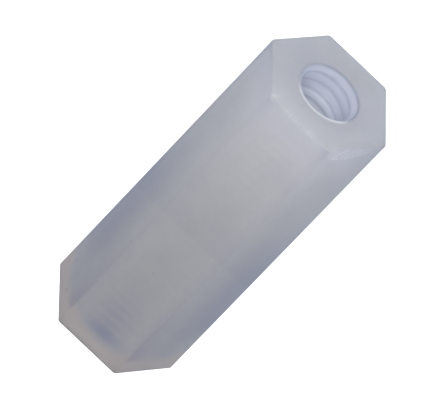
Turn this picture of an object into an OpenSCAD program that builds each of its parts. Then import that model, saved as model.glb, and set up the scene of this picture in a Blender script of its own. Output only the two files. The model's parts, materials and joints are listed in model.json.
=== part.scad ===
// Hexagonal standoff with a blind tapped hole in each end, moulded and tapped in one piece.
// It stands on one end face: the origin is the centre of that face, +Z runs along the axis,
// two flats face -Y and +Y, and two of the long corners lie on the X axis.

/* [Body] */
// Distance across the flats, which is the spanner size
across_flats = 5.5; // [4.5:0.1:8]
// Length from end face to end face
body_len = 16.5; // [13.5:0.5:60]
// Radius along the six long corners
corner_r = 0.18; // [0.05:0.01:0.5]
// Width of the small bevel round the outer edge of each end face
edge_bevel = 0.06; // [0.02:0.02:0.3]

/* [Tapped holes] */
// Nominal diameter of the thread
thread_d = 3; // [2:0.5:3.6]
// Pitch of the thread
thread_pitch = 0.5; // [0.3:0.05:0.8]
// How far the countersunk mouth is wider than the thread, on the radius
mouth_relief = 0.04; // [0.01:0.01:0.2]
// Depth of each hole down to where its drill point starts
hole_depth = 5.5; // [3:0.25:7]
// Angle of the drill point at the bottom of each hole
drill_point = 118; // [90:2:140]

/* [Hidden] */
$fn = 96;

apothem = across_flats / 2;
// Distance from the axis to the centre of each corner's rounding
corner_at = (apothem - corner_r) / cos(30);
// The tap drill leaves the thread's minor diameter
bore_r = (thread_d - thread_pitch) / 2;
mouth_r = thread_d / 2 + mouth_relief;
// The mouth is countersunk at 45 degrees
mouth_depth = mouth_r - bore_r;
point_depth = bore_r / tan(drill_point / 2);
// How far cutting shapes run past the faces that they cut
overrun = 1;

function polar(r, a) = [r * cos(a), r * sin(a)];

// Hexagon with round corners: straight flats between the tangent points, and a circle in each corner
module hex_section() {
    polygon([
        for (i = [0:5], side = [-30, 30])
            polar(corner_at, 60 * i) + polar(corner_r, 60 * i + side)
    ]);
    for (i = [0:5])
        translate(polar(corner_at, 60 * i))
            circle(r = corner_r, $fn = 48);
}

// Six wedges that bevel the outer edge of the end face at z = 0
module edge_bevels() {
    slab = across_flats + 2 * overrun;
    for (i = [0:5])
        rotate([0, 0, 60 * i + 30])
            translate([apothem - edge_bevel, 0, 0])
                rotate([0, 45, 0])
                    translate([0, -slab / 2, 0])
                        cube([overrun, slab, overrun]);
}

// Blind hole from the end face at z = 0: countersunk mouth, wall and drill point in one profile
module blind_hole() {
    rotate_extrude()
        polygon([
            [0, -overrun],
            [mouth_r, -overrun],
            [mouth_r, 0],
            [bore_r, mouth_depth],
            [bore_r, hole_depth],
            [0, hole_depth + point_depth]
        ]);
}

// The cuts made into the end face at z = 0
module end_cuts() {
    blind_hole();
    edge_bevels();
}

module standoff_body() {
    color([0.78, 0.79, 0.83])
        difference() {
            linear_extrude(body_len) hex_section();
            end_cuts();
            translate([0, 0, body_len]) rotate([180, 0, 0]) end_cuts();
        }
}

standoff_body();
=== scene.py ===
# %% [markdown]
# # A hexagonal nylon standoff
#
# A standoff holds one board a fixed distance above another. This one is natural nylon: a short hexagonal
# post with a blind tapped hole in each end. Nylon with no dye is milky. Light sinks in, scatters and
# comes out somewhere else, so the near end glows, the walls look soft, and the threads inside show as
# faint shadows.
#
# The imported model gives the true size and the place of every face. This lesson builds a finer surface
# inside that box, with real threads and burrs, and then works on what makes nylon look like nylon.

# %% The frame
import json
import math

import bpy
import numpy as np
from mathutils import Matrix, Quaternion, Vector


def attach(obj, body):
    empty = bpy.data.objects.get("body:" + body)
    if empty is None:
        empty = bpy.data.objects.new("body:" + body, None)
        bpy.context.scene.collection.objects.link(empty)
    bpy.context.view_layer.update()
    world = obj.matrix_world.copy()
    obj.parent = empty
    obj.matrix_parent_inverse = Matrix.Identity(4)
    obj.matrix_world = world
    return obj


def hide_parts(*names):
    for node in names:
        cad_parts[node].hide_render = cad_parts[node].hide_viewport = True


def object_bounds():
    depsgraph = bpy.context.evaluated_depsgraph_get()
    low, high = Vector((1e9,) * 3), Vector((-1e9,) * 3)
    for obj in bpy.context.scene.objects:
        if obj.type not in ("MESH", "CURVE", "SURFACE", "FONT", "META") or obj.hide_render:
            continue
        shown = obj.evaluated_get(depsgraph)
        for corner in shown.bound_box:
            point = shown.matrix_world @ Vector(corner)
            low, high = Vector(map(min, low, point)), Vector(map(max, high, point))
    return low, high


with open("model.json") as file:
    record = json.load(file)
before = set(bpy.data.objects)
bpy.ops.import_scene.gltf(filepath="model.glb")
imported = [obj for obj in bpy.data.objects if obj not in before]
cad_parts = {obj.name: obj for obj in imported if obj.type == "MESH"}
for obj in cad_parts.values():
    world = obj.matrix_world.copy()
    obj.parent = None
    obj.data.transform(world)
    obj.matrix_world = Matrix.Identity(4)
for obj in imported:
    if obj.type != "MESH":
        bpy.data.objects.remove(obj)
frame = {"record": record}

low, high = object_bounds()

# %% [markdown]
# ## Sizes
#
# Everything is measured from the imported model. The part stands on its lower end, with two flats facing
# -Y and +Y and two long corners on the X axis. So the box is one distance across the flats deep, and its
# width gives the radius of the corners. A corner of radius r reaches out to (apothem - r) / cos 30 + r, so
# a rounder corner reaches less far.
#
# Blender works in metres. MM is one millimetre, so that lengths can be written as they are on a drawing.

# %% Sizes from the frame
MM = 0.001
COS30 = math.cos(math.radians(30))
length = high.z - low.z
apothem = (high.y - low.y) / 2
corner_r = (apothem / COS30 - high.x) / (1 / COS30 - 1)
corner_at = (apothem - corner_r) / COS30
side = 2 * apothem * math.tan(math.radians(30))
print(f"length {length / MM:.2f} mm, across flats {2 * apothem / MM:.2f} mm")
print(f"corner radius {corner_r / MM:.3f} mm, one side {side / MM:.2f} mm")

# %% [markdown]
# ## The thread
#
# Each hole takes an M3 screw with the usual coarse thread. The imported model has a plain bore, as wide as
# the crests of that thread, and the tap cuts half a pitch deeper into the wall. Nylon gives way to a tap
# and springs back behind it, so the thread that is left is a little tighter than the tap. The countersink
# reaches a little past the roots. The depth of the hole doesn't change by the spring back, so it is worked
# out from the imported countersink.
#
# THREAD_START turns the thread to its place: on the +X side, a root lies this far below the lower end.

# %% Sizes of the thread
PITCH = 0.5 * MM
THREAD_START = 0.11 * MM
SPRING_BACK = 0.12 * MM
SINK_PAST_ROOT, PACKED_PAST_ROOT = 0.02 * MM, 0.04 * MM
DRILL_POINT = math.radians(118)
thread_mount = next(m for m in frame["record"]["mounts"] if m["name"] == "upper_thread")
bore_r = thread_mount["dims"]["r_mm"] * MM
wall_len = thread_mount["dims"]["length_mm"] * MM
tap_r = bore_r + PITCH / 2
thread_r = tap_r - SPRING_BACK
mouth_r = thread_r + SINK_PAST_ROOT
packed_mouth_r = tap_r + PACKED_PAST_ROOT
hole_depth = packed_mouth_r - bore_r + wall_len
point_depth = bore_r / math.tan(DRILL_POINT / 2)
print(f"thread {2 * thread_r / MM:.2f} mm across its roots")
print(f"each hole is {hole_depth / MM:.2f} mm deep, with a drill point of {point_depth / MM:.2f} mm below")

# %% [markdown]
# ## Columns: a hexagon with round corners
#
# The body could be a cylinder with six cuts, or a bevelled prism. Here it is one closed grid: columns run
# along the axis and rows run round it. The same columns serve the hexagon outside and the round hole
# inside, so a row can pass from one to the other across the end face without a seam.
#
# Complex numbers make the outline short. Multiplying by exp(i t) turns a point by the angle t, so one
# corner and one flat, turned six times, give the whole ring.

# %% Columns
CORNER_COLUMNS = 6
FLAT_COLUMNS = 36


def hexagon():
    """Round-cornered hexagon as complex numbers, with its outward normals.

    A corner point is the corner's centre plus corner_r times exp(i a), with a from -30 to 30 degrees. A
    point of the flat is (apothem + i s) times exp(i 30 degrees), with s along the flat. Both are turned
    by 60 degrees six times."""
    a = np.radians(np.linspace(-30, 30, CORNER_COLUMNS))
    half_flat = corner_at / 2
    s = np.linspace(-half_flat, half_flat, FLAT_COLUMNS + 2)[1:-1]
    facing = np.exp(1j * np.radians(30))
    rim = np.concatenate([corner_at + corner_r * np.exp(1j * a), (apothem + 1j * s) * facing])
    normal = np.concatenate([np.exp(1j * a), np.full(s.shape, facing)])
    turns = np.exp(1j * np.radians(60) * np.arange(6))[:, None]
    return (rim * turns).ravel(), (normal * turns).ravel()


rim, normal = hexagon()
angle = np.angle(rim)
print(len(rim), "columns")

# %% [markdown]
# ## Rows inside a hole: the tapped wall
#
# A tap cuts a groove that climbs one pitch for each turn. On the wall, the groove's place is the height
# minus the pitch times the share of a turn, so a right-hand thread is a function of that one number. A
# screw-shaped cutter and a boolean would do it too, but they leave ragged triangles at the mouth.
#
# The countersunk mouth is cut as well, and what is left is the wider of the two cuts. The last turn fades
# out, as the tap's tapered nose leaves it, and then the drill point closes the hole.

# %% The thread's groove
ROOT_SHARE, CREST_SHARE = 1 / 8, 1 / 4
TAP_NOSE = 0.5 * MM


def groove(z):
    """How deep the thread is cut at height z, from 0 at the crest to 1 at the root, for every column.

    The phase is (z + THREAD_START) / PITCH - angle / (2 pi), brought to -0.5 .. 0.5 round the root. The
    root is flat for ROOT_SHARE of the pitch and the crest for CREST_SHARE. The flank between them is half
    a cosine wave."""
    phase = (z + THREAD_START) / PITCH - angle / (2 * np.pi)
    from_root = np.abs(phase - np.round(phase))
    flank_start = ROOT_SHARE / 2
    flank_end = (1 - CREST_SHARE) / 2
    flank = np.clip((from_root - flank_start) / (flank_end - flank_start), 0, 1)
    return 0.5 + 0.5 * np.cos(np.pi * flank)


def hole_radius(depth, z):
    """Radius of the hole at a depth below the end face, where the height is z, for every column.

    It is the wider of the countersink, mouth_r - depth, and the thread, bore_r plus the groove. Below
    hole_depth it shrinks evenly to 0 at the drill point."""
    tapped = np.clip((hole_depth - depth) / TAP_NOSE, 0, 1)
    wall = np.maximum(mouth_r - depth, bore_r + (thread_r - bore_r) * groove(z) * tapped)
    point = bore_r * (hole_depth + point_depth - depth) / point_depth
    return np.where(depth < hole_depth, wall, np.minimum(bore_r, point))


print("the groove is cut", round((thread_r - bore_r) / MM, 2), "mm into the wall")

# %% The wall of a hole
ROWS_PER_PITCH = 9
POINT_ROWS = 9
LIP_ROWS = 5
LIP_R = 0.06 * MM
SINK_SLOPE = math.radians(45)


def hole_rows(end):
    """Rows of a hole from its drill point to the end face, as (points, heights). end is 1 above, -1 below.

    The wall is radius times exp(i angle) at even steps of depth. The lip is an arc of LIP_R from the
    slope of the countersink to the level of the end face."""
    point = np.linspace(hole_depth + point_depth, hole_depth, POINT_ROWS)[:-1]
    lip_end = LIP_R * (1 - math.cos(SINK_SLOPE))
    steps = int(round((hole_depth - lip_end) / PITCH * ROWS_PER_PITCH))
    depth = np.concatenate([point, np.linspace(hole_depth, lip_end, steps + 1)])[:, None]
    z = length - depth if end > 0 else depth + 0 * angle
    radius = hole_radius(depth, z + 0 * angle)
    lip = np.linspace(SINK_SLOPE, 0, LIP_ROWS)[1:, None]
    lip_centre = mouth_r + LIP_R * math.tan(SINK_SLOPE / 2)
    radius = np.vstack([radius, lip_centre - LIP_R * np.sin(lip) + 0 * angle])
    depth = np.vstack([depth, LIP_R * (1 - np.cos(lip))])
    height = length - depth if end > 0 else depth
    return radius * np.exp(1j * angle), height + 0 * angle


upper_hole = hole_rows(1)
lower_hole = hole_rows(-1)
print(len(upper_hole[0]), "rows in each hole")

# %% [markdown]
# ## Rows outside: end faces, edges and flats
#
# An end face only blends the round lip into the hexagon. The outer edge of a cut end is never a perfect
# corner, so a small quarter circle leads over it. A Bevel modifier could do that, but then the rows would
# no longer be known, and the burrs need them. The flats need few rows, apart from the stretch below the
# upper end, where the burrs are.

# %% End faces, edges and flats
EDGE_R = 0.05 * MM
EDGE_ROWS = 6
BURR_REACH = 1.0 * MM
BURR_ROWS, FLAT_ROWS = 29, 56
FACE_STEPS = [0.18, 0.36, 0.54, 0.72, 0.9, 0.95, 0.98]


def face_rows(end, lip):
    """Rows from the lip to the edge of an end face: (1 - t) times the lip plus t times the inset rim."""
    t = np.array(FACE_STEPS)[:, None]
    points = (1 - t) * lip + t * (rim - EDGE_R * normal)
    return points, np.full(points.shape, length if end > 0 else 0.0)


def edge_rows(end):
    """Quarter circle over the outer edge: inset EDGE_R (1 - sin t) and depth EDGE_R (1 - cos t)."""
    t = np.radians(np.linspace(0, 90, EDGE_ROWS))[:, None]
    points = rim - EDGE_R * (1 - np.sin(t)) * normal
    depth = EDGE_R * (1 - np.cos(t)) + 0 * angle
    return points, length - depth if end > 0 else depth


def flat_heights():
    """Heights of the rows on the flats, close together below the upper end and wider apart elsewhere."""
    near_end = np.linspace(length - EDGE_R, length - BURR_REACH, BURR_ROWS)[1:]
    rest = np.linspace(length - BURR_REACH, EDGE_R, FLAT_ROWS)[1:-1]
    return np.concatenate([near_end, rest])


heights = flat_heights()[:, None]
flats = (rim + 0 * heights, heights + 0 * angle)
print(len(heights), "rows on the flats")

# %% One closed grid
stack = [
    upper_hole,
    face_rows(1, upper_hole[0][-1]),
    edge_rows(1),
    flats,
    tuple(rows[::-1] for rows in edge_rows(-1)),
    tuple(rows[::-1] for rows in face_rows(-1, lower_hole[0][-1])),
    tuple(rows[::-1] for rows in lower_hole),
]
plan = np.vstack([points for points, _ in stack])
height = np.vstack([z for _, z in stack])
print("grid of", plan.shape[0], "rows and", plan.shape[1], "columns")

# %% [markdown]
# ## Burrs on the upper edge
#
# The post was cut off a longer blank, and the cutter left its marks on the edge that it came out of: a bead
# at one corner, a thin torn lip along the front edge, and a crescent on the next flat, where a flake pulled
# away. The lip is worst at three places. The crescent is a shallow scar with a raised, broken edge.
# They could be sculpted by hand. Here each is a hill on the grid: a height above the smooth surface, as a
# function of the place along the edge and the depth below the end.
#
# Bent nylon turns white and the burrs catch the light, so the same numbers are kept on the mesh as an
# attribute for the material, which paints them whiter: stress whitening and painted highlight in one.

# %% Places on the outside
FRONT, NEXT = 270, 330


def along_flat(facing_deg):
    """Share of the way along the flat that faces this way, 0 at its first corner and 1 at its last.

    Columns on the other flats get -1."""
    turned = rim * np.exp(-1j * math.radians(facing_deg))
    on_it = turned.real > 0.9 * apothem
    return np.where(on_it, turned.imag / side + 0.5, -1.0)


def ripple(s, waves):
    """Uneven line between -1 and 1: sines of s, each with its length and its start, over their number."""
    return sum(np.sin(2 * np.pi * s / wave + start) for wave, start in waves) / len(waves)


def hill(distance, width):
    """Bell curve: exp of minus the square of distance / width."""
    return np.exp(-(distance / width) ** 2)


depth_below = length - height
front = along_flat(FRONT) + 0 * height
next_flat = along_flat(NEXT) + 0 * height
on_front = front >= 0
print(int(on_front[0].sum()), "columns on the front flat")

# %% The bead, at the left corner of the front flat
BEAD_R, BEAD_DEPTH = 0.11 * MM, 0.03 * MM
BEAD_SHIFT = (0.05 + 0.11j) * MM
bead_corner = (corner_at + corner_r) * np.exp(1j * math.radians(FRONT - 30))
bead_place = bead_corner + BEAD_SHIFT
bead = hill(np.hypot(np.abs(plan - bead_place), depth_below - BEAD_DEPTH), BEAD_R)
print("the bead is centred", round(abs(BEAD_SHIFT) / MM, 2), "mm from the corner")

# %% The torn lip. Its worst places are shares of the front edge: place, width and strength
WORST_PLACES = [(0.15, 0.10, 0.25), (0.36, 0.10, 0.8), (0.62, 0.14, 1.0)]
LIP_WAVES = [(0.21, 0.4), (0.083, 1.9), (0.047, 0.0)]
LIP_DEPTH, LIP_WIDTH = 0.06 * MM, 0.09 * MM
worst = sum(strength * hill(front - at, width) for at, width, strength in WORST_PLACES)
torn = np.clip(0.60 + 1.2 * ripple(front, LIP_WAVES), 0, 1)
torn_lip = worst * torn * hill(depth_below - LIP_DEPTH, LIP_WIDTH) * on_front
print("the lip is torn to", round(float(torn_lip.max()), 2), "of its full height")

# %% The crescent
SCAR_DEEPEST, SCAR_UNEVEN, SCAR_EDGE_WIDTH = 0.70 * MM, 0.07 * MM, 0.05 * MM
SCAR_WAVES = [(0.19, 0.0), (0.11, 2.0), (0.052, 1.0)]
BREAKS = [(0.23, 1.2), (0.09, 0.3)]
BOW_LEAN = 0.7
on_next = (next_flat > 0) & (next_flat < 1) & (depth_below > 0.3 * EDGE_R)
share = np.clip(next_flat, 0, 1)

# Half a sine wave along the flat. BOW_LEAN moves its deepest place towards the front flat.
bow = np.clip(np.sin(np.pi * share ** BOW_LEAN), 0, 1)
scar_depth = SCAR_DEEPEST * bow + SCAR_UNEVEN * ripple(share, SCAR_WAVES)
scar = on_next * (depth_below < scar_depth) * np.clip(1.2 * bow, 0, 1)

# The raised edge is left out in places, and dies away towards both corners.
broken = np.clip(0.55 + 0.7 * ripple(share, BREAKS), 0.12, 1)
fade = (1.2 - 0.8 * share) * np.clip(6 * share - 0.3, 0, 1) * bow ** 0.3
scar_edge = hill(depth_below - scar_depth, SCAR_EDGE_WIDTH) * on_next * broken * fade
print("the scar reaches", round(float((scar_depth * on_next).max()) / MM, 2), "mm below the end")

# %% Flakes left in the scar, most of them a third of the way along it
FLAKE_WAVES = [(0.29, 0.5), (0.173, 1.0), (0.071, 2.2)]
FLAKE_SLANT = 0.3
crumbs = np.clip(3 * ripple(share + FLAKE_SLANT * depth_below / MM, FLAKE_WAVES) - 1.1, 0, 1)
flakes = scar * crumbs * hill(share - 0.35, 0.25)
print("the thickest flake is", round(float(flakes.max()), 2), "of its full height")

# %% Pushing the grid out
BEAD_UP, LIP_UP, SCAR_EDGE_UP, FLAKES_UP = 0.09 * MM, 0.025 * MM, 0.030 * MM, 0.018 * MM
SCAR_IN = 0.012 * MM
outside = np.abs(plan) > apothem - 4 * EDGE_R
near_end = outside & (height > length - 1.5 * BURR_REACH)
push = BEAD_UP * bead + LIP_UP * torn_lip + SCAR_EDGE_UP * scar_edge + FLAKES_UP * flakes - SCAR_IN * scar
push = np.where(near_end, push, 0)

# On the end face a burr goes up and on the flat it goes out. Over the round edge it does some of both.
sideways = np.clip((depth_below + 0.02 * MM) / EDGE_R, 0, 1)
upward = (1 - 0.7 * sideways) * (depth_below < 2 * EDGE_R)
plan = plan + push * sideways * normal
height = height + push * upward
print("highest burr:", round(float(push.max()) / MM, 3), "mm")

# %% How white the burrs are painted, from 0 to 1: stress whitening and painted highlight
WHITE_AND_GLINT_AMOUNTS = [(bead, 0.65), (torn_lip, 0.28), (scar_edge, 0.45), (scar, 0.08), (flakes, 0.25)]
white_and_glint = sum(amount * mark for mark, amount in WHITE_AND_GLINT_AMOUNTS)
white_and_glint = np.clip(np.where(near_end, white_and_glint, 0), 0, 1)
print(int((white_and_glint > 0.1).sum()), "points of the grid have turned white")

# %% [markdown]
# ## The mesh
#
# The grid already says which points are neighbours, so the faces follow from it: a quad between each
# point and the next ones in its row and column, and a fan of triangles at each end, where a drill point
# closes to a single vertex. The surface has no seam and no open edge. Every face is shaded smooth: the
# round edges have rows of their own, so they shade as they should.

# %% Faces from rows
def ring_quads(rows, columns):
    """Quads between rows that close into rings. Vertex r * columns + c is row r, column c.

    A quad joins (r, c), (r + 1, c), (r + 1, c + 1) and (r, c + 1), with c + 1 taken round."""
    here = np.arange(columns)
    after = (here + 1) % columns
    row = np.arange(rows - 1)[:, None] * columns
    quads = np.stack([row + here, row + columns + here, row + columns + after, row + after], axis=-1)
    return quads.reshape(-1, 4).tolist()


def fan(pole, first, second):
    """Triangles from one vertex to each pair of neighbours in a row."""
    return np.stack([np.full(first.shape, pole), first, second], axis=-1).tolist()


def new_piece(name, verts, faces):
    """Object at the origin with a mesh of these points and faces."""
    mesh = bpy.data.meshes.new(name)
    mesh.from_pydata(verts.tolist(), [], faces)
    piece = bpy.data.objects.new(name, mesh)
    bpy.context.scene.collection.objects.link(piece)
    return piece


print("a ring of 3 rows and 4 columns has", len(ring_quads(3, 4)), "quads")


# %% The standoff
def closed_grid(name, plan, height, white_and_glint):
    """Mesh from rows of points, closed by a fan at each end.

    The first and last rows have no size, so one vertex stands for each."""
    inner = slice(1, -1)
    body = np.stack([plan[inner].real, plan[inner].imag, height[inner]], axis=-1)
    rows, columns = body.shape[:2]
    poles = [[0, 0, height[0, 0]], [0, 0, height[-1, 0]]]
    verts = np.vstack([body.reshape(-1, 3), poles])
    upper_pole, lower_pole = rows * columns, rows * columns + 1
    here = np.arange(columns)
    after = (here + 1) % columns
    last_row = (rows - 1) * columns
    fans = fan(upper_pole, here, after) + fan(lower_pole, last_row + after, last_row + here)
    piece = new_piece(name, verts, ring_quads(rows, columns) + fans)
    piece.data.polygons.foreach_set("use_smooth", np.ones(len(piece.data.polygons), bool))
    white_and_glint_data = piece.data.attributes.new("white_and_glint", "FLOAT", "POINT")
    white_and_glint_data.data.foreach_set("value", np.append(white_and_glint[inner].ravel(), [0, 0]).astype(np.float32))
    piece.data.update()
    return piece


standoff = closed_grid("standoff", plan, height, white_and_glint)
triangles = sum(len(p.vertices) - 2 for p in standoff.data.polygons)
print(triangles, "triangles in the standoff")

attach(standoff, "root")
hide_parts("standoff_body")

# %% [markdown]
# ## Writing shaders as sums
#
# A material is a graph of nodes, and a graph is slow to read. The little class below wraps one socket, so
# that an expression such as 1 - mask * 0.5 adds the Math nodes by itself. Everything that isn't plain
# arithmetic comes from one method, which takes the node's type, its settings and what goes into it.

# %% A socket that does arithmetic
class Socket:
    """One output of a node. Arithmetic on it adds a Math node to the same tree."""

    def __init__(self, tree, out):
        self.tree, self.out = tree, out

    def node(self, kind, settings, values, out=0):
        """A new node: its settings are set first, then each input gets a link or a value."""
        made = self.tree.nodes.new(kind)
        for name, setting in settings.items():
            setattr(made, name, setting)
        for name, value in values.items():
            if isinstance(value, Socket):
                self.tree.links.new(value.out, made.inputs[name])
            else:
                made.inputs[name].default_value = value
        return Socket(self.tree, made.outputs[out])

    def math(self, operation, *terms):
        """A Math node with this operation, on sockets or numbers."""
        return self.node("ShaderNodeMath", {"operation": operation}, dict(enumerate(terms)))

    def __add__(self, other):
        return self.math("ADD", self, other)

    def __radd__(self, other):
        return self.math("ADD", other, self)

    def __sub__(self, other):
        return self.math("SUBTRACT", self, other)

    def __rsub__(self, other):
        return self.math("SUBTRACT", other, self)

    def __mul__(self, other):
        return self.math("MULTIPLY", self, other)

    def __rmul__(self, other):
        return self.math("MULTIPLY", other, self)

    def __truediv__(self, other):
        return self.math("DIVIDE", self, other)

    def __rtruediv__(self, other):
        return self.math("DIVIDE", other, self)

    def __pow__(self, other):
        return self.math("POWER", self, other)

    def __rpow__(self, other):
        return self.math("POWER", other, self)

    def __neg__(self):
        return self.math("MULTIPLY", self, -1.0)

    def __abs__(self):
        return self.math("ABSOLUTE", self)

    def bell(self, centre, width):
        """Bell curve: exp of minus the square of (self - centre) / width."""
        t = (self - centre) / width
        return self.math("EXPONENT", -(t * t))

    def rise(self, start, end):
        """Smooth step: 0 at start and 1 at end, or the other way round when end is less than start."""
        return self.node("ShaderNodeMapRange", {"interpolation_type": "SMOOTHSTEP"},
                         {"Value": self, "From Min": start, "From Max": end})

    def between(self, first, second):
        """Colour between two colours, with this value as the amount of the second."""
        return self.node("ShaderNodeMix", {"data_type": "RGBA"}, {0: self, 6: first, 7: second}, 2)

    def vector(self, operation, values, out=0):
        """A Vector Math node with this operation."""
        return self.node("ShaderNodeVectorMath", {"operation": operation}, values, out)


# %% [markdown]
# ## Natural nylon
#
# Nylon has no hard surface to look at. Most of the light goes in and comes out a millimetre or two away,
# so a facet has no sharp edge of shade, and the wall of the hole is as light as the end face. A volume
# inside a clear shell would behave like that, but it is slow and noisy. Subsurface scattering gives nearly
# the same from the skin alone. The gloss on top is weak and broad.
#
# Scattering doesn't reach what lies deeper: the threads, the thin wall at the foot, the weld. Each of
# these is a layer of colour, laid on with a mask. A mask is a function of the place on the standoff in
# mm: the height z, the distance along a flat from its middle, and the distance outward from the axis.
# So z.rise(1.2, 1.8) goes from 0 at a height of 1.2 mm to 1 at 1.8 mm, and z.rise(4.6, 2.2) comes down from
# 1 at 2.2 mm to 0 at 4.6 mm. Below, a name that ends in FROM holds a pair that goes up, and one that ends
# in TO a pair that comes down.

# %% Where a point lies on the standoff
nylon = bpy.data.materials.new("natural_nylon")
nylon.use_nodes = True
tree = nylon.node_tree
shader = tree.nodes["Principled BSDF"]
place = Socket(tree, tree.nodes.new("ShaderNodeTexCoord").outputs["Object"])
facing = Socket(tree, tree.nodes.new("ShaderNodeNewGeometry").outputs["Normal"])
in_mm = place.vector("SCALE", {0: place, "Scale": 1 / MM})
x, y, z = (in_mm.node("ShaderNodeSeparateXYZ", {}, {0: in_mm}, axis) for axis in "XYZ")
facing_z = facing.node("ShaderNodeSeparateXYZ", {}, {0: facing}, "Z")

half_across, top_z, half_side = apothem / MM, length / MM, side / MM / 2
from_end = top_z / 2 - abs(z - top_z / 2)
print("heights run from 0 to", round(top_z, 2), "mm")

# %% Which flat, and where on it
SIXTH = math.radians(60)
radius = (x * x + y * y) ** 0.5
turn_angle = x.math("ARCTAN2", y, x)
flat_number = x.math("ROUND", turn_angle / SIXTH - 0.5)
off_middle = turn_angle - SIXTH * (flat_number + 0.5)
along = radius * x.math("SINE", off_middle)
outward = radius * x.math("COSINE", off_middle)

# 1 on the two flats beside the front one and on the back one, and 0 on the other three
odd_flat = x.math("MODULO", abs(flat_number), 2.0)

SKIN_FROM = (half_across - 0.30, half_across - 0.12)
UPRIGHT_TO = (0.8, 0.3)
upright = abs(facing_z).rise(*UPRIGHT_TO)
skin = outward.rise(*SKIN_FROM) * upright
print("the skin of the flats starts", round(SKIN_FROM[1], 2), "mm from the axis")

# %% [markdown]
# ## The weld line
#
# Two flows of melt met near the middle of the mould, on a slanting plane. What shows is not a groove but a
# faint step in tone, a painted shade a little darker just above the plane. Above it the flats cooled slowly
# and are slightly crowned, so their shading runs round without a break, and below it they are flat. The
# crown is too small to measure, so it is left to the normals, and the mesh stays true to the imported model.

# %% Above the weld
WELD_HEIGHT = 7.96
WELD_SLOPE = math.tan(math.radians(39.94))
STEP_FROM, STEP_TO = (0.12, 0.38), (3.5, 0.4)
CROWN_FROM = (-0.15, 0.15)
above_weld = z - (WELD_HEIGHT - WELD_SLOPE * (y + half_across))
# painted shade: the flats a little darker just above the weld plane
weld_shade_step = above_weld.rise(*STEP_FROM) * above_weld.rise(*STEP_TO) * skin
crowned = above_weld.rise(*CROWN_FROM) * skin
print("the weld is", WELD_HEIGHT, "mm up on the front flat")
print("and", round(WELD_HEIGHT - WELD_SLOPE * 2 * half_across, 2), "mm up on the back one")

# %% [markdown]
# ## Shadows of the threads
#
# Behind each flat's middle the thread lies closest to the skin, and the light that comes through shows it
# as faint stripes. They follow the same formula as the groove, so they slant as the thread does. Nylon
# bends the light on its way out, and a thread a millimetre down is seen that much higher on the skin:
# SEEN_ABOVE is this lift. The odd flats stand further round from the light, and theirs are fainter.
#
# Painting them is the cheap way. Light traced through real nylon would draw them by itself, in hours.

# %% Stripes, and the shade of the lower bore
SEEN_ABOVE = 0.61
ODD_LOSS = 0.85
BORE_BAND = 0.75
LOW_FROM, LOW_TO = (1.2, 1.8), (4.6, 2.2)
HIGH_FROM, HIGH_TO = (top_z - 5.4, top_z - 3.5), (top_z - 0.6, top_z - 1.4)
SHADE_FROM, SHADE_TO = (0.8, 1.6), (6.0, 2.0)
even_flats = 1 - ODD_LOSS * odd_flat
over_bore = along.bell(0.0, BORE_BAND) * skin * even_flats
phase = (z - SEEN_ABOVE + THREAD_START / MM) / (PITCH / MM) - turn_angle / (2 * math.pi)
stripe = 0.5 + 0.5 * x.math("COSINE", 2 * math.pi * phase)
low_stripes = z.rise(*LOW_FROM) * z.rise(*LOW_TO) * over_bore * stripe
high_stripes = z.rise(*HIGH_FROM) * z.rise(*HIGH_TO) * over_bore * stripe
bore_shade = z.rise(*SHADE_FROM) * z.rise(*SHADE_TO) * over_bore
print("one stripe for every", PITCH / MM, "mm, seen", SEEN_ABOVE, "mm above its thread")

# %% The dark patch over the lower mouth, as (centre, width) up the flat and along it
MOUTH_UP, MOUTH_ALONG = (1.22, 0.38), (0.08, 0.80)
mouth_shade = z.bell(*MOUTH_UP) * along.bell(*MOUTH_ALONG) * skin * even_flats
print("the patch is darkest", MOUTH_UP[0], "mm up")

# %% [markdown]
# ## Rims, edges and shaded sides
#
# At the foot the wall is thin round the countersink, and the light that comes through it is warmer. That
# makes a warm rim, higher towards the corners, with a painted shade where it meets the table: a dark line. A
# long corner loses light on both sides, so it looks a little deeper. Towards the two long corners on the X
# axis the flats are painted bluer and darker, a painted shade, most of all in the lower half. Beside the
# front flat the foot is painted darker and purple, a painted shade as well.
#
# All of these follow the edges of the form, so each mask is a distance from an edge.

# %% The foot and the upper end
WARM_TO = (1.05, 0.42)
CORNER_RAISE, ODD_RAISE = 0.24, 0.12
TABLE_LINE_TO, NEAR_EDGE_FROM = (0.10, 0.03), (half_across - 0.6, half_across - 0.1)
END_LINE_FROM, AT_EDGE_FROM = (top_z - 0.09, top_z - 0.03), (half_across - 0.12, half_across - 0.04)
UNDER_RIM_FROM = (top_z - 2.0, top_z - 0.5)
warm_rim = (z - CORNER_RAISE * along * along - ODD_RAISE * odd_flat).rise(*WARM_TO)
# painted shade: a thin dark line where the foot meets the table
dark_rim = z.rise(*TABLE_LINE_TO) * outward.rise(*NEAR_EDGE_FROM)
# painted highlight: a little lighter along the round upper edge
upper_edge = z.rise(*END_LINE_FROM) * outward.rise(*AT_EDGE_FROM)
# painted shade: the flats a little darker and bluer below the upper end
under_rim = z.rise(*UNDER_RIM_FROM) * skin
print("the warm rim fades out", WARM_TO[0], "mm above the foot")

# %% The long corners
CORNER_FROM = (half_side - 0.45, half_side)
SIDE_SHADE_FROM = (1.7, 3.1)
BLUE_FROM, BLUE_TO = (0.8, 4.0), (12.0, 5.5)
BY_FRONT_TO = (-1.7, -2.6)
PURPLE_FROM, FAINT_TO, STRONG_TO = (0.7, 1.1), (7.0, 3.0), (3.0, 1.2)
FAINT = 0.3
long_edge = abs(along).rise(*CORNER_FROM) * skin
# painted shade: the flats darker and bluer towards the long corners on the X axis, most in the lower half
side_shade = abs(x).rise(*SIDE_SHADE_FROM) * skin
side_shade_low = z.rise(*BLUE_TO) * z.rise(*BLUE_FROM)
beside_front = odd_flat * skin * y.rise(*BY_FRONT_TO)
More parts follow.
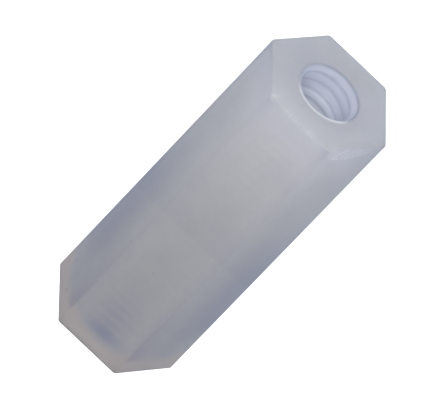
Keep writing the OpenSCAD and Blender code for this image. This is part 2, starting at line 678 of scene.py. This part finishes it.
# painted shade: darker and purple at the foot beside the front flat
tip_shade = beside_front * z.rise(*PURPLE_FROM) * (FAINT * z.rise(*FAINT_TO) + (1 - FAINT) * z.rise(*STRONG_TO))
print("a long corner is", round(half_side, 2), "mm from the middle of its flats")

# %% [markdown]
# ## The hole and its mouth
#
# The hole is small, milky and lit from all sides through its wall, so it is bluer than the skin but not
# dark. The first turn of the thread is lighter, and so is everything further down, where the light comes in
# from the flats. The roots hold some shade. Where the wall turns over into the end face, the lip is in
# shade on the far side and catches the light on the near one.
#
# The scattering would need many more samples to show that in so narrow a hole, so it is in the colour.

# %% Inside the hole
mouth, crest, root = mouth_r / MM, bore_r / MM, thread_r / MM
HOLE_TO = (mouth + 0.03, mouth - 0.03)
DEEP_FROM, FIRST_TURN_TO, BELOW_LIP_FROM = (0.9, 1.7), (0.45, 0.25), (0.12, 0.2)
ROOT_FROM = (crest + 0.06, root - 0.01)
in_hole = radius.rise(*HOLE_TO)
deep = in_hole * from_end.rise(*DEEP_FROM)
first_turn = in_hole * from_end.rise(*FIRST_TURN_TO)
thread_root = in_hole * radius.rise(*ROOT_FROM) * from_end.rise(*BELOW_LIP_FROM)
print("the colour of the hole starts", round(mouth, 2), "mm from the axis")

# %% Round its lip
LIP_TO = (0.12, 0.04)
DARK_RING, LIGHT_RING = (mouth + 0.01, 0.06), (mouth + 0.04, 0.08)
FAR_FROM, RIGHT_FROM, NEAR_TO = (-0.55, -0.15), (-0.9, -0.3), (-0.42, -0.80)
LEFT_SHARE, NEAR_TURN = 0.45, 0.15
toward_x, toward_y = x / radius, y / radius
at_mouth = from_end.rise(*LIP_TO)
far_side = toward_y.rise(*FAR_FROM) * (LEFT_SHARE + (1 - LEFT_SHARE) * toward_x.rise(*RIGHT_FROM))
near_side = (toward_y - NEAR_TURN * toward_x).rise(*NEAR_TO)
mouth_dark = radius.bell(*DARK_RING) * at_mouth * far_side
mouth_light = radius.bell(*LIGHT_RING) * at_mouth * near_side
print("the lip is shaded as far as", LIP_TO[0], "mm below the end face")

# %% [markdown]
# ## Clouds, flecks and specks
#
# Moulded nylon is never quite even. Wide soft clouds come from the flow of the melt, and finer flecks from
# tiny crystals. Two Noise textures at those two scales do it. A few specks of dust were moulded in as
# well. A speck is only a small ball of darker colour, centred on the skin, which is simpler than a piece
# of its own and can't stand proud.

# %% Unevenness of the melt
CLOUDS_PER_MM, FLECKS_PER_MM = 0.7, 5.0


def noise(scale, detail, roughness):
    """Noise between 0 and 1, with about this many bumps to the millimetre."""
    values = {"Vector": in_mm, "Scale": scale, "Detail": detail, "Roughness": roughness}
    return place.node("ShaderNodeTexNoise", {}, values)


CLOUDY_FROM, FLECKED_FROM = (0.35, 0.65), (0.40, 0.70)
cloud = noise(CLOUDS_PER_MM, 3.0, 0.6)
fleck = noise(FLECKS_PER_MM, 2.0, 0.5)
cloudy = cloud.rise(*CLOUDY_FROM)
flecked = fleck.rise(*FLECKED_FROM)
# white of the burrs: partly stress whitening, partly painted highlight
white_and_glint_mark = place.node("ShaderNodeAttribute", {"attribute_name": "white_and_glint"}, {}, "Fac")
print("clouds are about", round(1 / CLOUDS_PER_MM, 1), "mm wide and flecks", 1 / FLECKS_PER_MM, "mm")

# %% Specks, each as the way its flat faces, then its place along the flat, height and size in mm
SPECK_CORE = 0.3
SPECKS = [(210, 1.40, 5.71, 0.11), (210, 0.24, 5.63, 0.07), (210, -0.70, 1.41, 0.11),
          (210, 0.32, 0.62, 0.12), (210, 1.38, 3.12, 0.07), (270, -0.10, 5.43, 0.08)]


def speck(facing_deg, s, z_mm, size):
    """Mask of a small dark speck. Its centre is (half_across + i s) times exp(i facing_deg), at z_mm."""
    centre = (half_across + 1j * s) * np.exp(1j * math.radians(facing_deg))
    gap = in_mm.vector("DISTANCE", {0: in_mm, 1: (centre.real, centre.imag, z_mm)}, "Value")
    return gap.rise(size, SPECK_CORE * size)


specks = sum(speck(*facts) for facts in SPECKS)
print(len(SPECKS), "specks")

# %% [markdown]
# ## Colour
#
# The body's own colour is a light grey with a little blue. Every layer above it is a mask, an amount and
# a colour, laid on in order, so a later one covers an earlier one. One list holds them all, which makes
# the balance easy to see and to change.

# %% Colours, as linear red, green and blue
BODY = (0.60, 0.60, 0.635, 1)
# painted shade, and also the faint blue of the clouds in the melt
SHADE_AND_CLOUD_BLUE = (0.36, 0.39, 0.50, 1)
# painted shade, for the thread shadows, the bore, the mouth, the upper end and the sides
PAINTED_SHADE_BLUE = (0.30, 0.335, 0.53, 1)
# painted shade at the foot beside the front flat
TIP_SHADE_PURPLE = (0.33, 0.32, 0.48, 1)
RIM_WARM = (0.67, 0.60, 0.58, 1)
# painted shade where the foot meets the table
RIM_DARK = (0.20, 0.19, 0.22, 1)
# white of bent nylon and flecks, and also painted highlights and light stripes
WHITE_AND_HIGHLIGHT = (0.92, 0.93, 0.95, 1)
HOLE_BLUE = (0.45, 0.55, 0.90, 1)
HOLE_LIGHT = (0.88, 0.93, 1.0, 1)
SPECK_BROWN = (0.30, 0.28, 0.32, 1)

LAYERS = [
    (cloudy * 0.08, SHADE_AND_CLOUD_BLUE),
    (flecked * 0.03, WHITE_AND_HIGHLIGHT),
    (high_stripes * 0.05, WHITE_AND_HIGHLIGHT),
    (under_rim * 0.14, PAINTED_SHADE_BLUE),
    (low_stripes * 0.18, PAINTED_SHADE_BLUE),
    (bore_shade * 0.13, PAINTED_SHADE_BLUE),
    (side_shade * (0.03 + 0.37 * side_shade_low), PAINTED_SHADE_BLUE),
    (long_edge * 0.12, SHADE_AND_CLOUD_BLUE),
    (warm_rim * 0.75, RIM_WARM),
    (mouth_shade * 0.58, PAINTED_SHADE_BLUE),
    (tip_shade * 0.38, TIP_SHADE_PURPLE),
    (weld_shade_step * (0.10 + 0.04 * odd_flat), SHADE_AND_CLOUD_BLUE),
    (in_hole * 0.20, HOLE_BLUE),
    (deep * 0.54, HOLE_LIGHT),
    (first_turn * 0.18, HOLE_LIGHT),
    (thread_root * 0.35, SHADE_AND_CLOUD_BLUE),
    (mouth_dark * 0.80, SHADE_AND_CLOUD_BLUE),
    (mouth_light, WHITE_AND_HIGHLIGHT),
    (upper_edge * 0.04, WHITE_AND_HIGHLIGHT),
    (dark_rim * 0.90, RIM_DARK),
    (specks * 0.30, SPECK_BROWN),
    (white_and_glint_mark, WHITE_AND_HIGHLIGHT),
]
tone = BODY
for amount, colour in LAYERS:
    tone = amount.between(tone, colour)
print(len(LAYERS), "layers of colour")

# %% [markdown]
# ## Shine and surface
#
# Nylon shines softly, a little less where it is clouded or bruised. Its skin is almost smooth, with a
# relief of about a hundredth of a millimetre. Modelling that would cost millions of faces, so a Bump node
# bends the normals instead. The crown above the weld is made in the same place: there the normal leans
# from the flat's own direction towards the spoke that comes straight out from the axis.

# %% Roughness and normals
CROWN = 0.55
FLECK_UP, CLOUD_UP = 0.004, 0.010
ROUGH, CLOUD_ROUGHER, WHITE_AND_GLINT_ROUGHER = 0.42, 0.10, 0.10
rough = ROUGH + CLOUD_ROUGHER * cloud + WHITE_AND_GLINT_ROUGHER * white_and_glint_mark
spoke = place.vector("MULTIPLY", {0: place, 1: (1, 1, 0)})
spoke = spoke.vector("NORMALIZE", {0: spoke})
leaning = facing.node("ShaderNodeMix", {"data_type": "VECTOR"}, {0: crowned * CROWN, 4: facing, 5: spoke}, 1)
leaning = leaning.vector("NORMALIZE", {0: leaning})
relief = fleck * FLECK_UP + cloud * CLOUD_UP
bumped = facing.node("ShaderNodeBump", {}, {"Distance": MM, "Height": relief, "Normal": leaning})
print("the relief is up to", round(1000 * (FLECK_UP + CLOUD_UP)), "thousandths of a mm")

# %% Into the shader
VARYING = {"Base Color": tone, "Roughness": rough, "Normal": bumped}
EVEN = {
    "Subsurface Weight": 1.0,
    "Subsurface Radius": (1.0, 1.0, 1.0),
    "Subsurface Scale": 3 * MM,
    "IOR": 1.53,
    "Specular IOR Level": 0.3,
}
shader.subsurface_method = "BURLEY"
for name, source in VARYING.items():
    tree.links.new(source.out, shader.inputs[name])
for name, value in EVEN.items():
    shader.inputs[name].default_value = value
standoff.data.materials.append(nylon)
print(len(tree.nodes), "nodes in the nylon")

# %% [markdown]
# ## The floor
#
# A plain white sweep. It glows a little by itself, so that it stays white all over and the part stands
# out clean. Its rim curls up, which hides the horizon in a low view. A flat plane would have to be far
# larger for that. Only the camera sees the floor: a glowing one would wash out the flats from below.

# %% A white floor
FLOOR_R, CURL_R, CURL_UP = 0.30, 0.40, 0.016
INNER_RINGS = [0.02, 0.1, 0.2]


def dish():
    """Disc with a raised rim, as (points, heights).

    The height is CURL_UP times a smooth step of the radius from FLOOR_R to CURL_R."""
    r = np.concatenate([INNER_RINGS, np.linspace(FLOOR_R, CURL_R, 13)])[:, None]
    t = np.radians(np.arange(0, 360, 5))
    s = np.clip((r - FLOOR_R) / (CURL_R - FLOOR_R), 0, 1)
    return r * np.exp(1j * t), CURL_UP * s * s * (3 - 2 * s) + 0 * t


def floor_piece():
    """The dish as a mesh: quads between the rings, and a fan to the middle."""
    plan, height = dish()
    rows, columns = plan.shape
    rings = np.stack([plan.real, plan.imag, height], axis=-1).reshape(-1, 3)
    verts = np.vstack([rings, [0, 0, 0]])
    here = np.arange(columns)
    centre_fan = fan(rows * columns, here, (here + 1) % columns)
    return new_piece("floor", verts, ring_quads(rows, columns) + centre_fan)


floor = floor_piece()
print("the floor is", 2 * CURL_R, "m across")

# %% Its paper
paper = bpy.data.materials.new("white_sweep")
paper.use_nodes = True
paper_shader = paper.node_tree.nodes["Principled BSDF"]
PAPER = {
    "Base Color": (0.9, 0.9, 0.9, 1),
    "Roughness": 0.9,
    "Emission Color": (1, 1, 1, 1),
    "Emission Strength": 1.0,
}
for name, value in PAPER.items():
    paper_shader.inputs[name].default_value = value
floor.data.materials.append(paper)
floor.visible_diffuse = False
floor.visible_glossy = False
floor.visible_transmission = False
floor.visible_shadow = False
print("the floor glows with strength", PAPER["Emission Strength"])

# %% [markdown]
# ## Light
#
# Soft lights stand close round the part. The key and the two side lights are near the upper end, so that
# end glows and the shade deepens towards the foot. The light from straight behind is warm and the one above
# it is cool. Between them they light the hidden flats and shine through the milky body.
#
# One large sky would be simpler, but it lights both ends alike and flattens the form. So the world only
# gives what a white table sends back: a cool glow from below, and hardly anything from above.

# %% Lights
POWER = 2.2


def soft_light(name, at, aim, width, brightness):
    """Round area light at a place in mm, turned to aim. brightness is red, green and blue at the aim.

    The power that gives this at a distance d is POWER times pi d squared times the brightness."""
    at, aim = Vector(at) * MM, Vector(aim) * MM
    strongest = max(brightness)
    data = bpy.data.lights.new(name, "AREA")
    data.shape = "DISK"
    data.size = width * MM
    data.energy = POWER * math.pi * (at - aim).length ** 2 * strongest
    data.color = [channel / strongest for channel in brightness]
    light = bpy.data.objects.new(name, data)
    bpy.context.scene.collection.objects.link(light)
    light.location = at
    light.rotation_mode = "QUATERNION"
    light.rotation_quaternion = (aim - at).to_track_quat("-Z", "Y")
    light.visible_camera = False
    return data.energy


MIDDLE, NEAR_TOP = (0, 0, 8), (0, 0, 14)
LIGHTS = [
    ("key", (0, -18, 32), NEAR_TOP, 14, (0.775, 0.775, 0.78)),
    ("front", (0, -60, 10), MIDDLE, 40, (0.215, 0.208, 0.20)),
    ("near_left", (-22, 2, 18), NEAR_TOP, 14, (0.38, 0.40, 0.43)),
    ("near_right", (22, 2, 18), NEAR_TOP, 14, (0.32, 0.34, 0.375)),
    ("back_left", (-45, 40, 22), NEAR_TOP, 25, (0.14, 0.155, 0.18)),
    ("back_right", (45, 40, 22), NEAR_TOP, 25, (0.205, 0.23, 0.27)),
    ("behind", (0, 60, 8), MIDDLE, 40, (0.42, 0.40, 0.36)),
    ("behind_top", (0, 50, 55), MIDDLE, 40, (0.175, 0.20, 0.23)),
]
power = sum(soft_light(*facts) for facts in LIGHTS)
print(len(LIGHTS), "lights,", round(1000 * power, 1), "milliwatts in all")

# %% The glow from below
FROM_BELOW, FROM_ABOVE = (0.363, 0.377, 0.398, 1), (0.02, 0.02, 0.02, 1)
HORIZON_TO = (0.03, -0.03)
world = bpy.data.worlds.new("room")
world.use_nodes = True
bpy.context.scene.world = world
ray = Socket(world.node_tree, world.node_tree.nodes.new("ShaderNodeTexCoord").outputs["Generated"])
ray_z = ray.node("ShaderNodeSeparateXYZ", {}, {0: ray}, "Z")
glow = ray_z.rise(*HORIZON_TO).between(FROM_ABOVE, FROM_BELOW)
world.node_tree.links.new(glow.out, world.node_tree.nodes["Background"].inputs["Color"])
print(len(world.node_tree.nodes), "nodes in the world")

# %% [markdown]
# ## Camera
#
# A very long lens from almost half a metre away, looking down at the part and rolled, so the upper end
# comes to the corner of the picture and the long edges run parallel. An orthographic camera would do the
# same, but a real lens keeps the last trace of perspective. The aim is the middle of the part, moved by a
# few hundredths of a millimetre to frame it.

# %% Camera
LENS, SENSOR = 900, 36
FRAME_WIDTH = 18.184 * MM
AIM_RIGHT, AIM_DOWN = 0.033 * MM, 0.043 * MM
elevation, azimuth, roll = math.radians(39.94), math.radians(-0.71), math.radians(43.84)
distance = LENS * FRAME_WIDTH / SENSOR
level = math.cos(elevation)
back = Vector((math.sin(azimuth) * level, -math.cos(azimuth) * level, math.sin(elevation)))
turn = (-back).to_track_quat("-Z", "Y") @ Quaternion((0, 0, 1), roll)
right, up = turn @ Vector((1, 0, 0)), turn @ Vector((0, 1, 0))
aim = Vector((0, 0, length / 2)) + right * AIM_RIGHT - up * AIM_DOWN

optics = bpy.data.cameras.new("camera")
optics.lens = LENS
optics.sensor_width = SENSOR
optics.clip_start, optics.clip_end = 0.01, 2.0
camera = bpy.data.objects.new("camera", optics)
bpy.context.scene.collection.objects.link(camera)
camera.rotation_mode = "QUATERNION"
camera.rotation_quaternion = turn
camera.location = aim + back * distance
bpy.context.scene.camera = camera
bpy.context.scene.view_settings.view_transform = "Standard"
print(f"camera {distance:.3f} m away")
